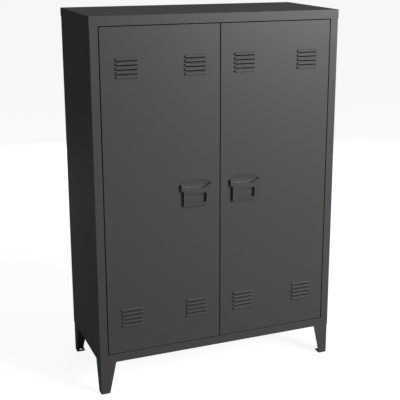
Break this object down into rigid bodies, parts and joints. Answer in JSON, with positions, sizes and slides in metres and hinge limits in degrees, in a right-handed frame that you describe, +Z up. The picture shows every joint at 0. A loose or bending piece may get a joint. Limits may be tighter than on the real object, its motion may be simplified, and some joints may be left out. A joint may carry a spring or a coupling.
{
  "type": "two-door locker cabinet",
  "caption": "Sheet-steel locker cabinet with two hinged louvred doors, finger pulls, inner shelves and tapered legs.",
  "frame": {"origin": "on the floor, under the middle of the outline seen from above", "axes": "+X to the right seen from the front, +Y from the doors to the back panel, +Z up"},
  "size_m": [0.8, 0.364, 1.17],
  "materials": {
    "body_paint": "satin powder coat, warm dark grey",
    "handle_paint": "satin powder coat, warm dark grey",
    "foot_plastic": "moulded black",
    "zinc_plated_steel": "bright zinc plating",
    "blackened_steel": "black oxide",
    "nylon": "black moulded nylon",
    "catch_plastic": "moulded black",
    "magnet_steel": "ground"
  },
  "bodies": {
    "cabinet": {"top_cap": "body_paint", "left_side_panel": "body_paint", "right_side_panel": "body_paint", "back_panel": "body_paint", "base_panel": "body_paint", "header_rail": "body_paint", "front_left_leg": "body_paint", "front_left_foot": "foot_plastic", "front_right_leg": "body_paint", "front_right_foot": "foot_plastic", "rear_left_leg": "body_paint", "rear_left_foot": "foot_plastic", "rear_right_leg": "body_paint", "rear_right_foot": "foot_plastic", "leg_bolts": "zinc_plated_steel", "leg_nuts": "zinc_plated_steel", "back_screws": "blackened_steel", "lower_shelf": "body_paint", "middle_shelf": "body_paint", "upper_shelf": "body_paint", "shelf_clips": "zinc_plated_steel", "left_lower_hinge_pin": "blackened_steel", "left_upper_hinge_pin": "blackened_steel", "left_catch_housing": "catch_plastic", "left_catch_magnet": "magnet_steel", "right_lower_hinge_pin": "blackened_steel", "right_upper_hinge_pin": "blackened_steel", "right_catch_housing": "catch_plastic", "right_catch_magnet": "magnet_steel"},
    "left_door": {"left_door_panel": "body_paint", "left_door_stiffener": "body_paint", "left_door_bushes": "nylon", "left_handle": "handle_paint", "left_handle_screws": "blackened_steel", "left_strike_plate": "zinc_plated_steel"},
    "right_door": {"right_door_panel": "body_paint", "right_door_stiffener": "body_paint", "right_door_bushes": "nylon", "right_handle": "handle_paint", "right_handle_screws": "blackened_steel", "right_strike_plate": "zinc_plated_steel"}
  },
  "joints": [
    {"name": "left_door_hinge", "type": "hinge", "parent": "cabinet", "child": "left_door", "pos_m": [-0.3565, -0.165, 0.6], "axis": [0, 0, -1], "range_deg": [0, 110]},
    {"name": "right_door_hinge", "type": "hinge", "parent": "cabinet", "child": "right_door", "pos_m": [0.3565, -0.165, 0.6], "axis": [0, 0, 1], "range_deg": [0, 110]}
  ]
}
